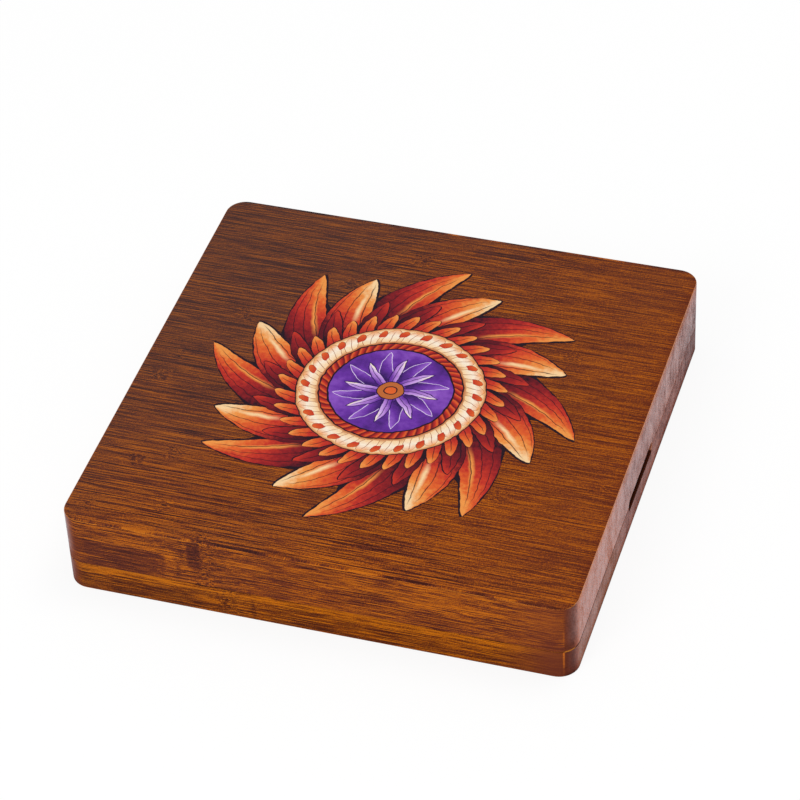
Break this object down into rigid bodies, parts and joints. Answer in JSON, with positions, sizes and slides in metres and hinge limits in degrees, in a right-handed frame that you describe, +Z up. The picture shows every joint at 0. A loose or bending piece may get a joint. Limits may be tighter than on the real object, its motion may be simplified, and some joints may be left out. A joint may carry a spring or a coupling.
{
  "type": "dice storage chest",
  "caption": "Low square bamboo chest for dice, with a deep felt-lined lid that lifts off, divided wells and a trough in the base, and a finger slot on the seam.",
  "frame": {"origin": "middle of the chest's underside", "axes": "+X towards the side with the finger slot, +Y towards the back, +Z up, the way the lid lifts"},
  "size_m": [0.2, 0.2, 0.0351],
  "materials": {
    "base_bamboo": "dark stained bamboo, satin lacquer",
    "lid_bamboo": "dark stained bamboo, satin lacquer",
    "divider_bamboo": "thin bamboo strip, matt oil",
    "base_felt": "black wool felt",
    "lid_felt": "black wool felt",
    "magnet_nickel": "nickel plate",
    "print_ink": "flat printed ink, semi-matt"
  },
  "bodies": {
    "base": {"base_body": "base_bamboo", "base_felt": "base_felt", "long_divider_1": "divider_bamboo", "long_divider_2": "divider_bamboo", "long_divider_3": "divider_bamboo", "long_divider_4": "divider_bamboo", "cross_divider_1": "divider_bamboo", "cross_divider_2": "divider_bamboo", "cross_divider_3": "divider_bamboo", "cross_divider_4": "divider_bamboo", "cross_divider_5": "divider_bamboo", "cross_divider_6": "divider_bamboo", "base_magnet_front_left": "magnet_nickel", "base_magnet_front_right": "magnet_nickel", "base_magnet_back_left": "magnet_nickel", "base_magnet_back_right": "magnet_nickel"},
    "lid": {"lid_body": "lid_bamboo", "lid_felt_sheet": "lid_felt", "lid_felt_band": "lid_felt", "lid_print": "print_ink", "lid_magnet_front_left": "magnet_nickel", "lid_magnet_front_right": "magnet_nickel", "lid_magnet_back_left": "magnet_nickel", "lid_magnet_back_right": "magnet_nickel"}
  },
  "joints": [
    {"name": "lid_lift", "type": "slide", "parent": "base", "child": "lid", "axis": [0, 0, 1], "range_m": [0, 0.08]}
  ]
}
